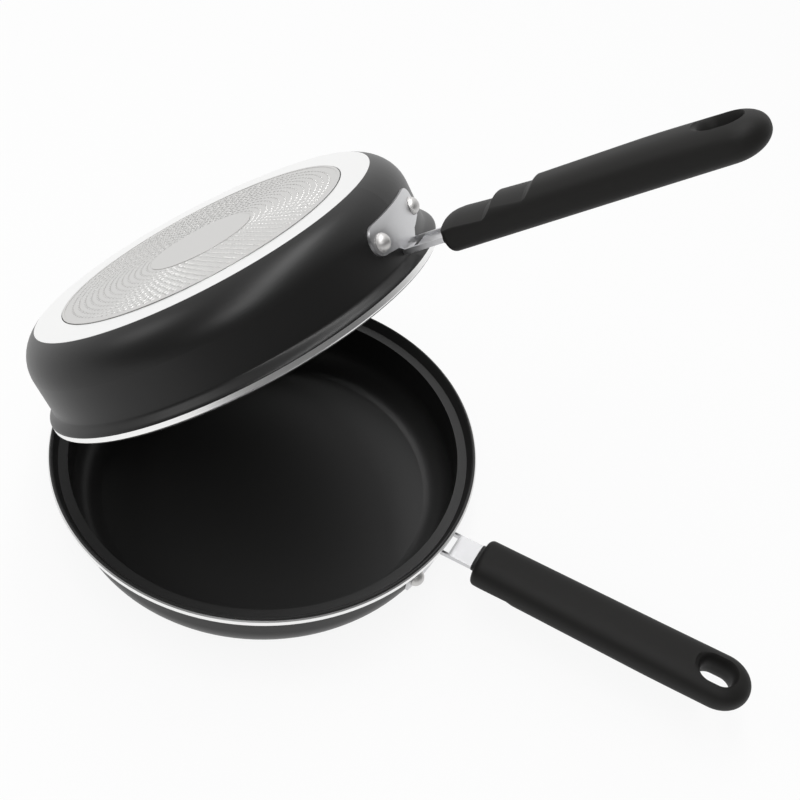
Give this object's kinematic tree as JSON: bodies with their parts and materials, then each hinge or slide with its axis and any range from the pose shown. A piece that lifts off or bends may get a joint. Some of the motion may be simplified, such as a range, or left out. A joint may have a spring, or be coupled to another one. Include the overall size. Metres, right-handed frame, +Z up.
{
  "type": "double sided flip pan",
  "caption": "Shallow frying pan with a matching pan that nests upside down in its rim as a lid, each with a long soft-grip handle, shown tipped open.",
  "frame": {"origin": "centre of the lower pan's base plate, on the surface it stands on", "axes": "+Z up out of the lower pan's mouth, +X along the lower pan's handle"},
  "size_m": [0.4619, 0.2685, 0.3233],
  "materials": {
    "nonstick": "satin",
    "bare_aluminium": "fine turned",
    "rivet_aluminium": "satin",
    "steel": "brushed",
    "handle_plastic": "matte",
    "soft_grip": "soft matte"
  },
  "bodies": {
    "lower_pan": {"lower_pan_shell": "nonstick", "lower_base_plate": "bare_aluminium", "lower_bracket": "steel", "lower_rivet_left": "rivet_aluminium", "lower_rivet_right": "rivet_aluminium", "lower_handle_core": "handle_plastic", "lower_handle_grip": "soft_grip"},
    "upper_pan": {"upper_pan_shell": "nonstick", "upper_base_plate": "bare_aluminium", "upper_bracket": "steel", "upper_rivet_left": "rivet_aluminium", "upper_rivet_right": "rivet_aluminium", "upper_handle_core": "handle_plastic", "upper_handle_grip": "soft_grip"}
  },
  "joints": [
    {"name": "tip_open", "type": "hinge", "parent": "lower_pan", "child": "upper_pan", "pos_m": [-0.12885, 0.02133, 0.0436], "axis": [-0.162, -0.9788, 0.1253], "range_deg": [-38.5, 45]}
  ]
}
